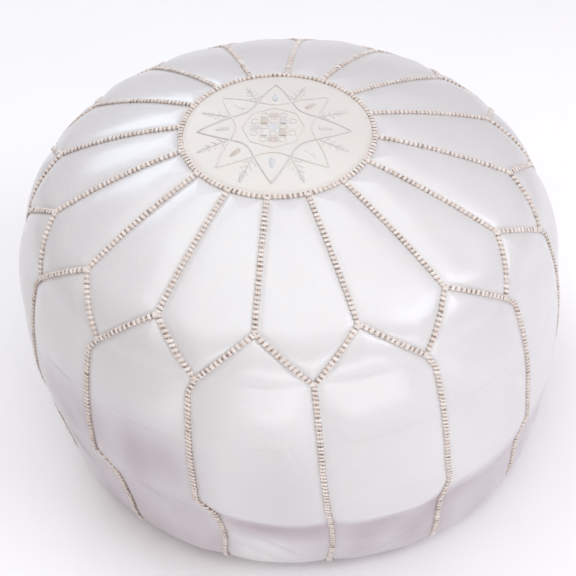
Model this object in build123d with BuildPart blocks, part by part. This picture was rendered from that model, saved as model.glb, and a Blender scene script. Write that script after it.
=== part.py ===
from build123d import *
from math import cos, radians, sin
import os

# Moroccan leather pouf: a round stuffed seat sewn from sixteen top petals, sixteen side panels
# that run down and under it, an embroidered medallion and a base closed by a zip.
# Millimetres, +Z up. The origin is the centre of the circle that the pouf rests on.

# Outline of the stuffed body: bends that follow each other from the top centre outwards,
# down the side and in under the base. A slope is the skin's turn from level, in degrees.
crown_radius = 433.0
shoulder_radius = 75.0
flank_radius = 306.0
low_side_radius = 800.0
floor_roll_radius = 31.0
shoulder_slope = 28.2
tip_slope = 65.6
widest_slope = 90.0
low_side_slope = 97.25
floor_slope = 180.0

# The base rises inside the ring that touches the floor, so that the zip hangs clear of it.
contact_width = 20.0
rise_radius = 20.0
rise_length = 21.8
rise_slope = 17.0
recess_radius = 40.0

# Sewn panels.
panel_count = 16
first_seam_azimuth = -98.1
medallion_reach = 85.1
skin_thickness = 1.8
hem_thickness = 3.4
hem_width = 12.0
seam_gap = 0.1
stitch_width = 5.2
stitch_depth = 1.1
stitch_clearance = 0.1
chevron_root_height = 65.0
junction_clearance = 4.6
mitre_gap = 0.3

# Panels and stitch runs are cut from blanks this much longer and wider.
blank_margin = 8.0
blank_turn = 4.0

# Embroidery on the medallion: an eight-pointed star with a leaf in each point and an octagon.
embroidery_height = 0.5
star_points = 8
star_radius = 70.0
star_waist = 40.0
star_line = 2.4
leaf_centre = 49.0
leaf_length = 20.0
leaf_width = 8.0
octagon_radius = 26.0

# Inside the leather.
bag_depth = 7.4
bag_thickness = 1.0
stuffing_depth = 9.0

# Zip across the base. The slider stands at its closed end, near +X.
opening_length = 300.0
opening_width = 16.0
tape_length = 320.0
tape_reach = 17.0
tape_thickness = 0.7
tooth_inner = 0.9
tooth_outer = 3.9
tooth_length = 2.0
tooth_pitch = 4.0
tooth_height = 3.4
tooth_count = 72
stop_length = 3.0
slider_length = 15.0
slider_width = 11.4
slider_plate = 1.0
slider_clearance = 0.3
slider_centre = 138.0
flange_width = 1.2
post_width = 1.0
post_length = 3.0
bridge_width = 2.6
bridge_wall = 0.9
pivot_drop = 1.05
pivot_radius = 0.75
pull_length = 26.0
pull_width = 7.0
pull_thickness = 1.5
pull_loop_length = 3.7
pull_slope = 17.0
thread_pitch = 5.0
thread_length = 3.6
thread_width = 0.8
thread_height = 0.5
thread_row = 11.0

groove_width = stitch_width / 2 + stitch_clearance
half_panel = 180.0 / panel_count
panel_angle = 360.0 / panel_count
blank_reach = panel_angle + blank_turn


def bend(radius, turn):
    """Length and turn of a stretch of the outline that bends towards the inside."""
    return radius * radians(turn), turn


body_runs = [
    bend(crown_radius, shoulder_slope),
    bend(shoulder_radius, tip_slope - shoulder_slope),
    bend(flank_radius, widest_slope - tip_slope),
    bend(low_side_radius, low_side_slope - widest_slope),
    bend(floor_roll_radius, floor_slope - low_side_slope),
]
rise_runs = [
    (contact_width, 0),
    bend(rise_radius, rise_slope),
    (rise_length, 0),
    (recess_radius * radians(rise_slope), -rise_slope),
]


def follow(runs, distance, place, heading=0.0):
    """Place and heading after a distance along the runs. The heading turns down from +X."""
    x, z = place
    for length, turn in runs:
        part = min(distance, length)
        turned = turn * part / length
        if turn:
            radius = length / radians(turn)
            x += radius * (sin(radians(heading + turned)) - sin(radians(heading)))
            z += radius * (cos(radians(heading + turned)) - cos(radians(heading)))
        else:
            x += part * cos(radians(heading))
            z -= part * sin(radians(heading))
        heading += turned
        distance -= part
        if distance <= 0:
            break
    return x, z, heading


body_length = sum(length for length, turn in body_runs)
height = -follow(body_runs, body_length, (0, 0))[1]
rise_end = body_length + sum(length for length, turn in rise_runs)
base_radius, base_height, _ = follow(body_runs + rise_runs, rise_end, (0, height))
skin_runs = body_runs + rise_runs + [(base_radius, 0)]

# Distances along the skin from the top centre to each seam.
ring_at = medallion_reach
shoulder_at = body_runs[0][0]
tip_at = shoulder_at + body_runs[1][0]
base_seam_at = rise_end
skin_end = rise_end + base_radius


def skin_place(distance, depth=0.0):
    """Point in the meridian plane at a distance along the skin and a depth under it."""
    x, z, heading = follow(skin_runs, distance, (0, height))
    return x - depth * sin(radians(heading)), z - depth * cos(radians(heading))


def skin_line(depth, start, stop):
    """Draw the outline at a depth under the skin, between two distances along it."""
    passed, heading = 0.0, 0.0
    for length, turn in skin_runs:
        begin, finish = max(start, passed), min(stop, passed + length)
        if finish - begin > 1e-6:
            share = (finish - begin) / length
            at_begin = radians(heading + turn * (begin - passed) / length)
            if turn:
                JernArc(
                    start=skin_place(begin, depth),
                    tangent=(cos(at_begin), -sin(at_begin)),
                    radius=abs(length / radians(turn) - depth),
                    arc_size=-turn * share,
                )
            else:
                Line(skin_place(begin, depth), skin_place(finish, depth))
        passed += length
        heading += turn


def meridian(azimuth):
    """Upright plane through the axis, x pointing outwards. Its normal faces lower azimuths."""
    outward = Vector(cos(radians(azimuth)), sin(radians(azimuth)), 0)
    return Plane(origin=(0, 0, 0), x_dir=outward, z_dir=outward.cross(Vector(0, 0, 1)))


def around(radius_and_height, azimuth):
    """Point of a meridian plane turned to an azimuth."""
    radius, level = radius_and_height
    return Vector(radius * cos(radians(azimuth)), radius * sin(radians(azimuth)), level)


def chevron(shoulder_azimuth, tip_azimuth):
    """Plane of the seam from a shoulder to a tip. Its normal faces the petals."""
    root = Vector(0, 0, chevron_root_height)
    to_shoulder = around(skin_place(shoulder_at), shoulder_azimuth) - root
    to_tip = around(skin_place(tip_at), tip_azimuth) - root
    normal = to_shoulder.cross(to_tip)
    if normal.Z < 0:
        normal = -normal
    return Plane(origin=root, x_dir=to_shoulder, z_dir=normal)


def layer_face(top, bottom, start, stop, mode=Mode.ADD):
    """Face in the open sketch, between two depths and two distances along the skin."""
    with BuildLine() as outline:
        skin_line(top, start, stop)
        skin_line(bottom, start, stop)
        Line(skin_place(start, top), skin_place(start, bottom))
        Line(skin_place(stop, top), skin_place(stop, bottom))
    make_face(outline.edges(), mode=mode)


def skin_layer(top, bottom, start, stop, reach=360.0):
    """Layer between two depths and two distances, revolved evenly about azimuth 0."""
    with BuildPart() as layer:
        with BuildSketch(meridian(-reach / 2)):
            layer_face(top, bottom, start, stop)
        revolve(axis=Axis.Z, revolution_arc=reach)
    return layer.part


def petal_layer(top, bottom, inset):
    """Long top panel from the medallion to a pointed tip at azimuth 0."""
    blank = skin_layer(top, bottom, ring_at + inset, tip_at + blank_margin, blank_reach)
    with BuildPart() as layer:
        add(blank)
        split(bisect_by=meridian(half_panel).offset(inset), keep=Keep.TOP)
        split(bisect_by=meridian(-half_panel).offset(-inset), keep=Keep.BOTTOM)
        split(bisect_by=chevron(half_panel, 0).offset(inset), keep=Keep.TOP)
        split(bisect_by=chevron(-half_panel, 0).offset(inset), keep=Keep.TOP)
    return layer.part


def side_layer(top, bottom, inset):
    """Side panel from a pointed head at azimuth 0, down and under to the base seam."""
    start = shoulder_at - blank_margin
    blank = skin_layer(top, bottom, start, base_seam_at - inset, blank_reach)
    with BuildPart() as layer:
        add(blank)
        split(bisect_by=meridian(half_panel).offset(inset), keep=Keep.TOP)
        split(bisect_by=meridian(-half_panel).offset(-inset), keep=Keep.BOTTOM)
        split(bisect_by=chevron(0, half_panel).offset(-inset), keep=Keep.BOTTOM)
        split(bisect_by=chevron(0, -half_panel).offset(-inset), keep=Keep.BOTTOM)
    return layer.part


def base_layer(top, bottom, inset):
    """Half of the level base disc on the +Y side, cut back around the zip's opening."""
    with BuildPart() as layer:
        with BuildSketch(Plane.XY.offset(base_height + top)):
            Circle(base_radius - inset)
            Rectangle(opening_length + 2 * inset, opening_width + 2 * inset, mode=Mode.SUBTRACT)
            split(bisect_by=Plane.XZ.offset(-inset), keep=Keep.BOTTOM)
        extrude(amount=bottom - top)
    return layer.part


def sewn_panel(panel_layer):
    """Skin with its edges turned in behind, and a groove for the stitches around its face."""
    face = panel_layer(0, skin_thickness, groove_width)
    backing = panel_layer(stitch_depth, hem_thickness, seam_gap)
    hollow = panel_layer(skin_thickness, hem_thickness + 1, hem_width)
    with BuildPart() as panel:
        add(face)
        add(backing)
        add(hollow, mode=Mode.SUBTRACT)
    return panel.part


def meridian_stitches(start, stop):
    """Straight run of stitches along azimuth 0, between two distances along the skin."""
    with BuildPart() as run:
        add(skin_layer(0, stitch_depth, start, stop, 2 * half_panel))
        split(bisect_by=meridian(0).offset(-stitch_width / 2), keep=Keep.TOP)
        split(bisect_by=meridian(0).offset(stitch_width / 2), keep=Keep.BOTTOM)
    return run.part


def chevron_stitches(shoulder_azimuth):
    """Slanting run of stitches from a shoulder down to the tip at azimuth 0."""
    seam = chevron(shoulder_azimuth, 0)
    low, high = sorted((0, shoulder_azimuth))
    with BuildPart() as run:
        margin = blank_margin + stitch_width
        start, stop = shoulder_at - margin, tip_at + margin
        add(skin_layer(0, stitch_depth, start, stop, blank_reach))
        split(bisect_by=seam.offset(-stitch_width / 2), keep=Keep.TOP)
        split(bisect_by=seam.offset(stitch_width / 2), keep=Keep.BOTTOM)
        split(bisect_by=meridian(high).offset(mitre_gap), keep=Keep.TOP)
        split(bisect_by=meridian(low).offset(-mitre_gap), keep=Keep.BOTTOM)
    return run.part


def save(part, name):
    """Label a finished piece and write it under its own name."""
    part.label = name
    export_step(part, f"parts/{name}.step")


os.makedirs("parts", exist_ok=True)

# Leather. The medallion has the same skin, hem and groove as the panels, all round.
with BuildPart() as medallion:
    with BuildSketch(meridian(0)):
        layer_face(0, skin_thickness, 0, ring_at - groove_width)
        layer_face(stitch_depth, hem_thickness, 0, ring_at - seam_gap)
        layer_face(skin_thickness, hem_thickness + 1, 0, ring_at - hem_width, Mode.SUBTRACT)
    revolve(axis=Axis.Z)
save(medallion.part, "medallion")

petal = sewn_panel(petal_layer)
side_panel = sewn_panel(side_layer)
base_half = sewn_panel(base_layer)
first_tip_azimuth = first_seam_azimuth + half_panel

save(base_half, "base_half_left")
save(base_half.mirror(Plane.XZ), "base_half_right")
for number in range(panel_count):
    turn = number * panel_angle
    save(petal.rotate(Axis.Z, first_tip_azimuth + turn), f"petal_{number + 1:02d}")
    save(side_panel.rotate(Axis.Z, first_seam_azimuth + turn), f"side_panel_{number + 1:02d}")

# Stitch runs, one solid for each stretch of seam between two junctions.
with BuildPart() as medallion_seam_stitches:
    add(skin_layer(0, stitch_depth, ring_at - stitch_width / 2, ring_at + stitch_width / 2))
save(medallion_seam_stitches.part, "medallion_seam_stitches")

with BuildPart() as base_seam_stitches:
    seam_edge = stitch_width / 2
    add(skin_layer(0, stitch_depth, base_seam_at - seam_edge, base_seam_at + seam_edge))
save(base_seam_stitches.part, "base_seam_stitches")

radial_run = meridian_stitches(ring_at + junction_clearance, shoulder_at - junction_clearance)
with BuildPart() as radial_seam_stitches:
    with PolarLocations(0, panel_count, first_seam_azimuth):
        add(radial_run)
save(radial_seam_stitches.part, "radial_seam_stitches")

side_run = meridian_stitches(tip_at + junction_clearance, base_seam_at - junction_clearance)
with BuildPart() as side_seam_stitches:
    with PolarLocations(0, panel_count, first_tip_azimuth):
        add(side_run)
save(side_seam_stitches.part, "side_seam_stitches")

chevron_runs = [chevron_stitches(half_panel), chevron_stitches(-half_panel)]
with BuildPart() as chevron_seam_stitches:
    with PolarLocations(0, panel_count, first_tip_azimuth):
        for run in chevron_runs:
            add(run)
save(chevron_seam_stitches.part, "chevron_seam_stitches")

# Embroidery.
cover_layer = skin_layer(-embroidery_height, 0, 0, ring_at - stitch_width)
with BuildPart() as medallion_embroidery:
    with BuildSketch(Plane.XY.offset(skin_place(ring_at)[1] - blank_margin)):
        with BuildLine():
            step = radians(180 / star_points)
            radii = [star_radius, star_waist] * star_points
            turns = [step * index for index in range(2 * star_points)]
            Polyline([(r * cos(a), r * sin(a)) for r, a in zip(radii, turns)], close=True)
        make_face()
        offset(amount=-star_line, kind=Kind.INTERSECTION, mode=Mode.SUBTRACT)
        with PolarLocations(leaf_centre, star_points):
            Ellipse(leaf_length / 2, leaf_width / 2)
        RegularPolygon(octagon_radius, star_points)
        RegularPolygon(octagon_radius - star_line, star_points, mode=Mode.SUBTRACT)
    extrude(amount=4 * blank_margin)
    add(cover_layer, mode=Mode.INTERSECT)
save(medallion_embroidery.part, "medallion_embroidery")

# Cotton bag and the stuffing that it holds.
save(skin_layer(bag_depth, bag_depth + bag_thickness, 0, skin_end), "inner_bag")

with BuildPart() as stuffing:
    with BuildSketch(meridian(0)):
        with BuildLine():
            skin_line(stuffing_depth, 0, skin_end)
            Line(skin_place(skin_end, stuffing_depth), skin_place(0, stuffing_depth))
        make_face()
    revolve(axis=Axis.Z)
save(stuffing.part, "stuffing")

# Zip. Its tapes lie against the turned-in edges, inside the leather.
tape_low = base_height + hem_thickness
tooth_low = tape_low + (tape_thickness - tooth_height) / 2
opening_end = opening_length / 2
half_tooth_row = (tooth_outer - tooth_inner) / 2
tooth_line = (tooth_inner + tooth_outer) / 2

with BuildPart() as zip_tape:
    with BuildSketch(Plane.XY.offset(tape_low)):
        with Locations((0, (tooth_outer + tape_reach) / 2)):
            Rectangle(tape_length, tape_reach - tooth_outer)
    extrude(amount=tape_thickness)
save(zip_tape.part, "zip_tape_left")
save(zip_tape.part.mirror(Plane.XZ), "zip_tape_right")

for side, name in ((1, "zip_teeth_left"), (-1, "zip_teeth_right")):
    with BuildPart() as zip_teeth:
        with BuildSketch(Plane.XY.offset(tooth_low)):
            stagger = side * tooth_pitch / 4
            with Locations((stagger, side * tooth_line)):
                with GridLocations(tooth_pitch, 0, tooth_count, 1):
                    Rectangle(tooth_length, 2 * half_tooth_row)
        extrude(amount=tooth_height)
    save(zip_teeth.part, name)

with BuildPart() as zip_top_stops:
    with BuildSketch(Plane.XY.offset(tooth_low)):
        with Locations((opening_end - stop_length / 2 - 1, 0)):
            with GridLocations(0, 2 * tooth_line, 1, 2):
                Rectangle(stop_length, 2 * half_tooth_row)
    extrude(amount=tooth_height)
    fillet(zip_top_stops.edges().filter_by(Axis.Z), 0.6)
save(zip_top_stops.part, "zip_top_stops")

with BuildPart() as zip_bottom_stop:
    with BuildSketch(Plane.XY.offset(tooth_low)):
        with Locations((-opening_end + stop_length / 2 + 1, 0)):
            Rectangle(stop_length, 2 * tooth_outer)
    extrude(amount=tooth_height)
    fillet(zip_bottom_stop.edges().filter_by(Axis.Z), 0.6)
save(zip_bottom_stop.part, "zip_bottom_stop")

# Slider: two plates joined by a post between the rows of teeth, flanges that hold the tapes'
# edges, and a bridge under the outer plate for the pull.
outer_plate = tooth_low - slider_clearance - slider_plate
inner_plate = tooth_low + tooth_height + slider_clearance
flange_line = (slider_width - flange_width) / 2
pivot_height = outer_plate - pivot_drop
window_half = pivot_radius + slider_clearance
bridge_low = pivot_height - window_half - bridge_wall
slider_front = slider_centre + slider_length / 2

with BuildPart() as zip_slider:
    for low in (outer_plate, inner_plate):
        with BuildSketch(Plane.XY.offset(low)):
            with Locations((slider_centre, 0)):
                RectangleRounded(slider_length, slider_width, 3.0)
        extrude(amount=slider_plate)
    with BuildSketch(Plane.XY.offset(outer_plate)):
        with Locations((slider_front - post_length, 0)):
            SlotOverall(post_length, post_width)
    extrude(amount=inner_plate - outer_plate)
    for low, high in (
        (outer_plate + slider_plate, tape_low - slider_clearance),
        (tape_low + tape_thickness + slider_clearance, inner_plate),
    ):
        with BuildSketch(Plane.XY.offset(low)):
            with Locations((slider_centre, 0)):
                with GridLocations(0, 2 * flange_line, 1, 2):
                    Rectangle(slider_length - 6, flange_width)
        extrude(amount=high - low)
    with BuildSketch(Plane.XZ.offset(-bridge_width / 2)):
        with Locations((slider_centre, (outer_plate + bridge_low) / 2)):
            Rectangle(2 * (window_half + bridge_wall), outer_plate - bridge_low)
        with Locations((slider_centre, (outer_plate + pivot_height - window_half) / 2)):
            Rectangle(2 * window_half, outer_plate - pivot_height + window_half,
                      mode=Mode.SUBTRACT)
    extrude(amount=bridge_width)
save(zip_slider.part, "zip_slider")

# Pull: a tab with a loop, whose round bar turns in the slider's bridge. It hangs towards -X.
hang = radians(pull_slope)
pull_plane = Plane(
    origin=(slider_centre, 0, pivot_height),
    x_dir=(-cos(hang), 0, -sin(hang)),
    z_dir=(sin(hang), 0, -cos(hang)),
)
with BuildPart() as zip_pull:
    with BuildSketch(pull_plane.offset(-pull_thickness / 2)):
        with Locations((pull_length / 2, 0)):
            RectangleRounded(pull_length, pull_width, 1.4)
        with Locations((pull_loop_length / 2, 0)):
            Rectangle(pull_loop_length, pull_width - 3, mode=Mode.SUBTRACT)
        with Locations((pull_length - 4, 0)):
            Circle(1.4, mode=Mode.SUBTRACT)
    extrude(amount=pull_thickness)
    with BuildSketch(Plane.XZ.offset(-pull_width / 2 + 0.2)):
        with Locations((slider_centre, pivot_height)):
            Circle(pivot_radius)
    extrude(amount=pull_width - 0.4)
save(zip_pull.part, "zip_pull")

# Thread on each side of the zip, through the leather and its tape.
thread_count = int(opening_length / thread_pitch)
with BuildPart() as zip_stitching:
    with BuildSketch(Plane.XY.offset(base_height - thread_height)):
        with GridLocations(thread_pitch, 2 * thread_row, thread_count, 2):
            SlotOverall(thread_length, thread_width)
    extrude(amount=thread_height)
save(zip_stitching.part, "zip_stitching")

widest = follow(body_runs, sum(run[0] for run in body_runs[:3]), (0, height))
print("diameter", round(2 * widest[0], 1), "height", round(height, 1))
print("shoulders", skin_place(shoulder_at), "tips", skin_place(tip_at))
print("base radius", round(base_radius, 2), "base height", round(base_height, 2))
print("pull hinge", slider_centre, round(pivot_height, 3))
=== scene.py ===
import math

import bpy
import numpy as np
from mathutils import Matrix, Vector


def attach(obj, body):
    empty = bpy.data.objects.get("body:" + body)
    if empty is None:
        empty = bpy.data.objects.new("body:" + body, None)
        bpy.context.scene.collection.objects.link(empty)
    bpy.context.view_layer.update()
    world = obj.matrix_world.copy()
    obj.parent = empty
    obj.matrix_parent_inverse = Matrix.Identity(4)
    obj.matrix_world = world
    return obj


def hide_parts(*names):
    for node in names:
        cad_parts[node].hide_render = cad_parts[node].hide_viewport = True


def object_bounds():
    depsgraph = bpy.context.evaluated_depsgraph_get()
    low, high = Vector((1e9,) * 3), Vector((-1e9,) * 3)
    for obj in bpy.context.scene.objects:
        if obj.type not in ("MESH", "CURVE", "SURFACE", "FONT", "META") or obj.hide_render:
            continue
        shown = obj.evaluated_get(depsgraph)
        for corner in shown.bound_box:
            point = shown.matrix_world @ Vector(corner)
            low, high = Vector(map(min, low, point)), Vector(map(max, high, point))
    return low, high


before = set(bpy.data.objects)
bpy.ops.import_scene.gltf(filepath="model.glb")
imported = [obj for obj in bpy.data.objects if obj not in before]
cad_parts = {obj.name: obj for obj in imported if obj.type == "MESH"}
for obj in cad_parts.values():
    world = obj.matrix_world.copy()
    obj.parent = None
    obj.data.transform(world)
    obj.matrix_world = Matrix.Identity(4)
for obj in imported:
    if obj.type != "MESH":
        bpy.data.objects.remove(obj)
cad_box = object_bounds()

# Visual model of a sewn leather pouf. Every visible leather, thread and embroidery piece is
# placed on the pouf's skin by three numbers: an azimuth about Z, a distance along the skin
# from the top centre, and a lift over it. Metres and radians, unless a name says otherwise.

MM = 0.001
BODY = "pouf"


def bend(radius, degrees):
    """A round stretch of outline, as its length and how far it turns downwards."""
    return abs(radius * math.radians(degrees)), math.radians(degrees)


def straight(length):
    return length, 0.0


# Outline of the body, as stretches that follow each other from the top centre.
CROWN, SHOULDER_BEND, FLANK = bend(0.433, 28.2), bend(0.075, 37.4), bend(0.306, 24.4)
LOW_SIDE, FLOOR_ROLL, CONTACT = bend(0.800, 7.25), bend(0.031, 82.75), straight(0.020)
RISE_BEND, RISE, RECESS_BEND = bend(0.020, 17.0), straight(0.0218), bend(0.040, -17.0)
OUTLINE = (CROWN, SHOULDER_BEND, FLANK, LOW_SIDE, FLOOR_ROLL, CONTACT, RISE_BEND, RISE, RECESS_BEND)
SHOULDER = CROWN[0]
TIP = SHOULDER + SHOULDER_BEND[0]
SIDE_RADIUS = 0.26

# Panels. HALF is half a panel's angle, and RING is the medallion seam's distance.
PANELS = 16
HALF = math.pi / PANELS
FIRST_SEAM = math.radians(-98.1)
FIRST_TIP = FIRST_SEAM + HALF
FRONT_TIP = math.radians(-86.9)
RING = 0.0851
# Every chevron seam lies in a plane through this height on the pouf's axis.
CHEVRON_ROOT = 0.065

# Leather and seams. A seam is two raw leather lips, oversewn with flat strands of floss.
LEATHER = 1.6 * MM
LIP, LIP_HEIGHT, LIP_STEP = 0.95 * MM, 0.85 * MM, 0.9 * MM
GROOVE = 0.95 * MM
STITCH_PITCH, CHEVRON_PITCH = 4.2 * MM, 4.8 * MM
STITCH_REACH, STITCH_TOP, STITCH_SUNK = 2.15 * MM, 2.1 * MM, 0.9 * MM
STRAND_WIDTH, STRAND_DEPTH = 2.75 * MM, 1.1 * MM
FLOOR_GAP = 0.3 * MM
# How far a panel's face stops short of the middle of its seam.
EDGE = 0.6 * MM
CHEVRON_EDGE = 1.4 * EDGE

# Heights on the plain outline where the sides bulge, kink, fold, and roll out near the floor.
BROW, KINK, FOLD, FOOT_ROLL = 0.224, 0.112, 0.094, 0.042


# ---------------------------------------------------------------- the skin

def trace_skin(step=0.5 * MM):
    """Samples of the outline, in columns of distance, radius, height and slope."""
    rows, at, slope, radius, height = [(0.0, 0.0, 0.0, 0.0)], 0.0, 0.0, 0.0, 0.0
    for length, turn in OUTLINE:
        count = max(2, round(length / step))
        for _ in range(count):
            middle = slope + turn / count / 2
            radius += length / count * math.cos(middle)
            height -= length / count * math.sin(middle)
            slope += turn / count
            at += length / count
            rows.append((at, radius, height, slope))
    rows.append((at + radius, 0.0, height, slope))
    return np.array(rows).T, at


(SKIN_AT, SKIN_RADIUS, SKIN_HEIGHT, SKIN_SLOPE), BASE_SEAM = trace_skin()
SKIN_HEIGHT = SKIN_HEIGHT + cad_box[1][2] - SKIN_HEIGHT[0]
BASE_RADIUS = np.interp(BASE_SEAM, SKIN_AT, SKIN_RADIUS)
SKIN_END = BASE_SEAM + BASE_RADIUS


def radius_at(distance):
    return np.interp(distance, SKIN_AT, SKIN_RADIUS)


def skin(azimuth, distance, lift):
    """Points of the plain outline, lifted along its outward normal."""
    slope = np.interp(distance, SKIN_AT, SKIN_SLOPE)
    radius = radius_at(distance) + lift * np.sin(slope)
    height = np.interp(distance, SKIN_AT, SKIN_HEIGHT) + lift * np.cos(slope)
    return np.stack([radius * np.cos(azimuth), radius * np.sin(azimuth), height], -1)


def trace_chevron(samples=33):
    """Seam from a tip (angle 0) to a shoulder (angle HALF): its angle and distance."""
    root = np.array([0.0, 0.0, CHEVRON_ROOT])
    shoulder, tip = skin(HALF, SHOULDER, 0.0) - root, skin(0.0, TIP, 0.0) - root
    normal = np.cross(shoulder, tip)
    at = np.linspace(SHOULDER - 2 * MM, TIP + 2 * MM, 400)
    angles = np.linspace(0.0, HALF, samples)
    found = []
    for angle in angles:
        side = (skin(angle, at, 0.0) - root) @ normal
        found.append(np.interp(0.0, side * np.sign(side[-1]), at))
    return angles, np.array(found)


CHEVRON_ANGLE, CHEVRON_AT = trace_chevron()
# Farther than any place is from a seam.
FAR = 1.0


def chevron_at(angle):
    """Distance of the chevron seam at an angle from a tip's azimuth."""
    return np.interp(np.abs(angle), CHEVRON_ANGLE, CHEVRON_AT)


def from_tip(azimuth):
    """Angle from the nearest tip's azimuth."""
    return (azimuth - FIRST_TIP + HALF) % (2 * HALF) - HALF


def chevron_gap(angle, distance):
    """Distance to the chevron seam, with the skin laid flat round it."""
    near = np.full(np.shape(distance), FAR)
    close = (distance > SHOULDER - 0.05) & (distance < TIP + 0.05)
    x = (radius_at(distance) * angle)[close]
    y = distance[close]
    line_x, line_y = CHEVRON_ANGLE * radius_at(CHEVRON_AT), CHEVRON_AT
    best = np.full(x.shape, FAR)
    for x0, y0, x1, y1 in zip(line_x, line_y, line_x[1:], line_y[1:]):
        run_x, run_y = x1 - x0, y1 - y0
        share = ((x - x0) * run_x + (y - y0) * run_y) / (run_x ** 2 + run_y ** 2)
        share = np.clip(share, 0.0, 1.0)
        best = np.minimum(best, np.hypot(x - x0 - share * run_x, y - y0 - share * run_y))
    near[close] = best
    return near


def seam_gap(azimuth, distance):
    """Distance over the skin to the nearest seam."""
    angle = np.abs(from_tip(azimuth))
    radius = radius_at(distance)
    past_radial = np.maximum(0, distance - SHOULDER) + np.maximum(0, RING - distance)
    past_side = np.maximum(0, TIP - distance) + np.maximum(0, distance - BASE_SEAM)
    return np.minimum.reduce([
        np.hypot(radius * (HALF - angle), past_radial),
        np.hypot(radius * angle, past_side),
        chevron_gap(angle, distance),
        np.abs(distance - RING),
        np.abs(distance - BASE_SEAM),
    ])


LATTICE_SIZE = 32
LATTICE = np.random.default_rng(7).random((LATTICE_SIZE,) * 3)


def noise(place, size, seed=0):
    """Smooth random field from -1 to 1, with features of a size."""
    scaled = place / size + 5.37 * seed
    cell = np.floor(scaled).astype(int)
    share = scaled - cell
    share = share * share * (3 - 2 * share)
    total = 0.0
    for corner in range(8):
        step = np.array([corner & 1, corner >> 1 & 1, corner >> 2 & 1])
        weight = np.prod(np.where(step, share, 1 - share), axis=-1)
        i, j, k = np.moveaxis((cell + step) % LATTICE_SIZE, -1, 0)
        total = total + weight * LATTICE[i, j, k]
    return 2 * total - 1


def bump(value, centre, width):
    """A smooth hill of height 1."""
    return np.exp(-((value - centre) / width) ** 2)


def smooth_step(value, low, high):
    """From 0 below low to 1 above high."""
    share = np.clip((value - low) / (high - low), 0.0, 1.0)
    return share * share * (3 - 2 * share)


def from_front(azimuth):
    """Angle from the front tip's azimuth, growing to the right."""
    return (azimuth - FRONT_TIP + math.pi) % (2 * math.pi) - math.pi


def below_fold(azimuth, place, raised=0.0):
    """Millimetres below the slack fold round the lower side, where the leather turns under.

    The fold is higher at the left than at the right, and there it climbs at the seams.
    """
    off = from_front(azimuth)
    near_seam = np.exp(-np.abs(from_tip(azimuth)) / math.radians(4.0))
    fold = FOLD - 0.022 * np.sin(off) + 0.010 * near_seam * (1 - np.sin(off)) / 2
    return (fold + raised + 0.004 * noise(place, 0.06, 5) - place[..., 2]) / MM


# Creases drawn in the slack leather: azimuth in degrees and height in mm of both ends, and
# the depth in mm.
CREASES = (
    (-132.0, 126.0, -113.0, 100.0, 0.9),
    (-131.0, 117.0, -120.0, 98.0, 0.7),
    (-107.0, 82.0, -91.0, 30.0, 2.1),
    (-108.0, 62.0, -97.0, 26.0, 1.5),
    (-84.0, 96.0, -70.0, 104.0, 0.6),
    (-93.0, 205.0, -90.0, 165.0, 0.4),
    (-62.0, 92.0, -48.0, 112.0, 0.7),
    (-66.0, 62.0, -80.0, 30.0, 1.1),
    (-154.0, 118.0, -140.0, 86.0, 1.0),
    (-20.0, 110.0, -38.0, 84.0, 0.9),
    (24.0, 96.0, 44.0, 70.0, 1.0),
    (96.0, 110.0, 110.0, 76.0, 1.0),
    (150.0, 104.0, 170.0, 82.0, 0.9),
)


def drawn_creases(azimuth, height):
    """Depth of the creases listed above, each deepest in its middle."""
    total = 0.0
    for az0, z0, az1, z1, depth in CREASES:
        start, end = math.radians(az0), math.radians(az1)
        run_x, run_z = SIDE_RADIUS * (end - start), (z1 - z0) * MM
        length = math.hypot(run_x, run_z)
        x = SIDE_RADIUS * ((azimuth - start + math.pi) % (2 * math.pi) - math.pi)
        z = height - z0 * MM
        along = (x * run_x + z * run_z) / length ** 2
        aside = (x * run_z - z * run_x) / length + 2.5 * MM * np.sin(3.0 * along)
        fade = smooth_step(along, -0.15, 0.35) * (1 - smooth_step(along, 0.6, 1.15))
        valley, ridge = bump(aside, 0.0, 3.2 * MM), bump(aside, 6.0 * MM, 4.5 * MM)
        total = total + depth * MM * fade * (valley - 0.5 * ridge)
    return total


def slack_fold(azimuth, place, gap):
    """The leather turns under at the fold, and comes out again in a roll near the floor."""
    off, height = from_front(azimuth), place[..., 2]
    below = below_fold(azimuth, place)
    turned = smooth_step(below, -3.0, 9.0) * np.exp(-np.maximum(below - 9.0, 0.0) / 20.0)
    turned = turned * (1 - 0.5 * np.exp(-gap / (14 * MM)))
    fold = 1.3 * bump(below, -26.0, 24.0) - 3.4 * turned + 1.2 * bump(height, FOOT_ROLL, 0.014)
    strength = 0.85 - 0.35 * bump(off, -0.9, 0.5)
    foot = 4.5 * bump(off, 0.50, 0.35) - 2.5 * bump(off, 0.0, 0.5)
    return (fold * strength + foot * (1 - smooth_step(height, 0.012, 0.060))) * MM


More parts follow.
